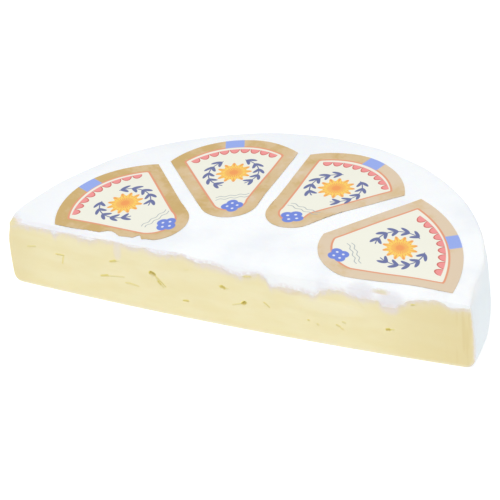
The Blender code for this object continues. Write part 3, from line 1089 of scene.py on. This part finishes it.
def wreath(side, radial):
    """Pairs of leaves on a ring about the flower, open at its top and foot."""
    distance, angle = from_point(side, radial, FLOWER_RADIAL)
    step = math.tau / WREATH_LEAVES
    turned = distance.maths("ABSOLUTE", angle)
    along = (distance.maths("FRACT", turned / step) - 0.5) * (step * WREATH_RADIUS)
    across = distance - WREATH_RADIUS
    outer, inner = leaf(along, across, 0.6, 1.4), leaf(along, across, -0.6, -1.4)
    leaves = outer.maths("MAXIMUM", outer, inner)
    stem = 1 - distance.maths("ABSOLUTE", across).smooth(0.2, 0.45)
    both = leaves.maths("MAXIMUM", leaves, stem)
    first, last = step, step * (WREATH_LEAVES / 2 - 1)
    return both * turned.smooth(first - 0.01, first) * (1 - turned.smooth(last, last + 0.01))


def scallops(side, radial):
    """A row of half rounds that hang from an arc, and how far out each place is in its own."""
    distance, angle = from_point(side, radial, ARC_RADIAL)
    along = (distance.maths("FRACT", angle / SCALLOP_STEP + 0.5) - 0.5) * (SCALLOP_STEP * GARLAND_RADIUS)
    hang = (GARLAND_RADIUS - distance) / SCALLOP_DROP
    width = along / (SCALLOP_STEP * GARLAND_RADIUS / 2)
    shape = hang * hang + width * width
    below_line = hang.smooth(-0.05, 0.05)
    within = 1 - distance.maths("ABSOLUTE", angle).smooth(GARLAND_END, GARLAND_END + 0.01)
    return (1 - shape.smooth(0.86, 1.0)) * below_line * within, shape * within * below_line


def waves(side, radial):
    """Two thin wavy lines across the label."""
    ripple = side.maths("SINE", side * WAVE_RATE) * WAVE_HEIGHT
    upper, lower = [(radial - ripple).bump(middle, WAVE_WIDTH) for middle in WAVE_RADIALS]
    beyond = side.maths("ABSOLUTE", side).smooth(*WAVE_ENDS)
    return upper.maths("MAXIMUM", upper, lower) * (1 - beyond)


def clover(side, radial, reach, spread):
    """Four round leaves about one point."""
    turned_side = side.maths("ABSOLUTE", side)
    turned_rise = side.maths("ABSOLUTE", radial - CLOVER_RADIAL)
    far = turned_side.maths("MAXIMUM", turned_side, turned_rise) - spread
    near = turned_side.maths("MINIMUM", turned_side, turned_rise)
    distance = far.maths("SQRT", far * far + near * near)
    return 1 - distance.smooth(reach - 0.2, reach + 0.2)


print("motifs:", "flower, wreath, scallops, waves, clover")

# %% [markdown]
# The paper itself is satin. Its ink is a little uneven, and the paper ripples very slightly
# where it follows the damp rind, which shows only in its gloss.

# %% Label finish
GOLD_TAN = rgb(207, 174, 110)
TAN = rgb(220, 192, 147)
TAN_PALE = rgb(226, 205, 177)
RED_LINE = rgb(232, 156, 120)
CREAM = rgb(244, 243, 228)
TAB_BLUE = rgb(150, 172, 238)
LEAF_BLUE = rgb(104, 113, 162)
GOLD = rgb(255, 212, 96)
ORANGE = rgb(246, 160, 84)
CORAL = rgb(244, 150, 148)
CORAL_DARK = rgb(206, 96, 84)
WAVE_GREY = rgb(170, 180, 184)
CLOVER_BLUE = rgb(112, 136, 222)
DOT_WHITE = rgb(236, 240, 250)

BORDER_WIDTH = 6.4
LINE_WIDTH = 1.1
TAB_RADIUS = 40.1
TAB_HALF_WIDTH = 5.1
SOFT = 0.2
PAPER_ROUGH = 0.34
INK_ROUGHER = 0.14
RIPPLE_LENGTH = 7 * MM
RIPPLE_STRENGTH = 0.3
RIPPLE_HEIGHT = 0.3 * MM


def label_finish():
    material, shader, places = new_finish("printed_paper")
    uv = places.node("ShaderNodeUVMap", {}, uv_map="print")
    split = uv.node("ShaderNodeSeparateXYZ", {"Vector": uv})
    side = (split - 0.5) * UV_SPAN
    radial = uv.node("ShaderNodeSeparateXYZ", {"Vector": uv}, 1) * UV_SPAN
    edge = places.node("ShaderNodeAttribute", {}, 2, attribute_name="edge_mm")

    ink = places.grain(2.2 * MM, 4)
    across_cut = places.node("ShaderNodeSeparateXYZ", {"Vector": places}) / RADIUS
    paler = (places.grain(14 * MM) * 1.3 + ink * 0.4 + across_cut * 0.45).smooth(0.35, 1.25)
    border = paler.smooth(0.0, 0.5).mix(GOLD_TAN, TAN)
    border = paler.smooth(0.5, 1.0).mix(border, TAN_PALE)
    colour = edge.smooth(BORDER_WIDTH - SOFT, BORDER_WIDTH + SOFT).mix(border, RED_LINE)
    field = BORDER_WIDTH + LINE_WIDTH
    colour = edge.smooth(field - SOFT, field + SOFT).mix(colour, CREAM)

    coral, depth = scallops(side, radial)
    colour = coral.mix(colour, depth.smooth(0.5, 0.8).mix(CORAL, CORAL_DARK))
    colour = wreath(side, radial).mix(colour, LEAF_BLUE)
    distance, angle = from_point(side, radial, FLOWER_RADIAL)
    veins = distance.maths("COSINE", angle * (2 * PETALS)) * 0.25 + distance / 12
    outer_petals = petals(side, radial, PETAL_REACH, PETAL_WAVE)
    inner_petals = petals(side, radial, INNER_SHARE * PETAL_REACH, INNER_SHARE * PETAL_WAVE, math.pi)
    colour = outer_petals.mix(colour, veins.smooth(0.4, 0.9).mix(GOLD, ORANGE))
    colour = inner_petals.mix(colour, veins.smooth(0.2, 0.5).mix(ORANGE, GOLD))
    colour = (1 - distance.smooth(HEART_RADIUS - SOFT, HEART_RADIUS + SOFT)).mix(colour, ORANGE)
    colour = waves(side, radial).mix(colour, WAVE_GREY)
    colour = clover(side, radial, *CLOVER_LEAVES).mix(colour, CLOVER_BLUE)
    colour = clover(side, radial, *CLOVER_DOTS).mix(colour, DOT_WHITE)

    arc_distance, _ = from_point(side, radial, ARC_RADIAL)
    outside = arc_distance.smooth(TAB_RADIUS - SOFT, TAB_RADIUS + SOFT)
    beside = side.maths("ABSOLUTE", side).smooth(TAB_HALF_WIDTH - SOFT, TAB_HALF_WIDTH + SOFT)
    colour = (outside * (1 - beside)).mix(colour, TAB_BLUE)

    ripple = places.grain(RIPPLE_LENGTH, 3)
    sockets = {"Height": ripple + ink * 0.1, "Strength": RIPPLE_STRENGTH, "Distance": RIPPLE_HEIGHT}
    relief = places.node("ShaderNodeBump", sockets)
    plug(shader, Base_Color=colour, Roughness=PAPER_ROUGH + ink * INK_ROUGHER, Normal=relief)
    return material


paper = label_finish()
for label in labels:
    label.data.materials.clear()
    label.data.materials.append(paper)
print("label finish:", paper.name)

# %% [markdown]
# The dressed model keeps the size of the solids, and its triangles are counted at the end.

# %% Triangles and the end
print("triangles:", sum(len(obj.data.polygons) for obj in [cheese, *labels]) * 2)
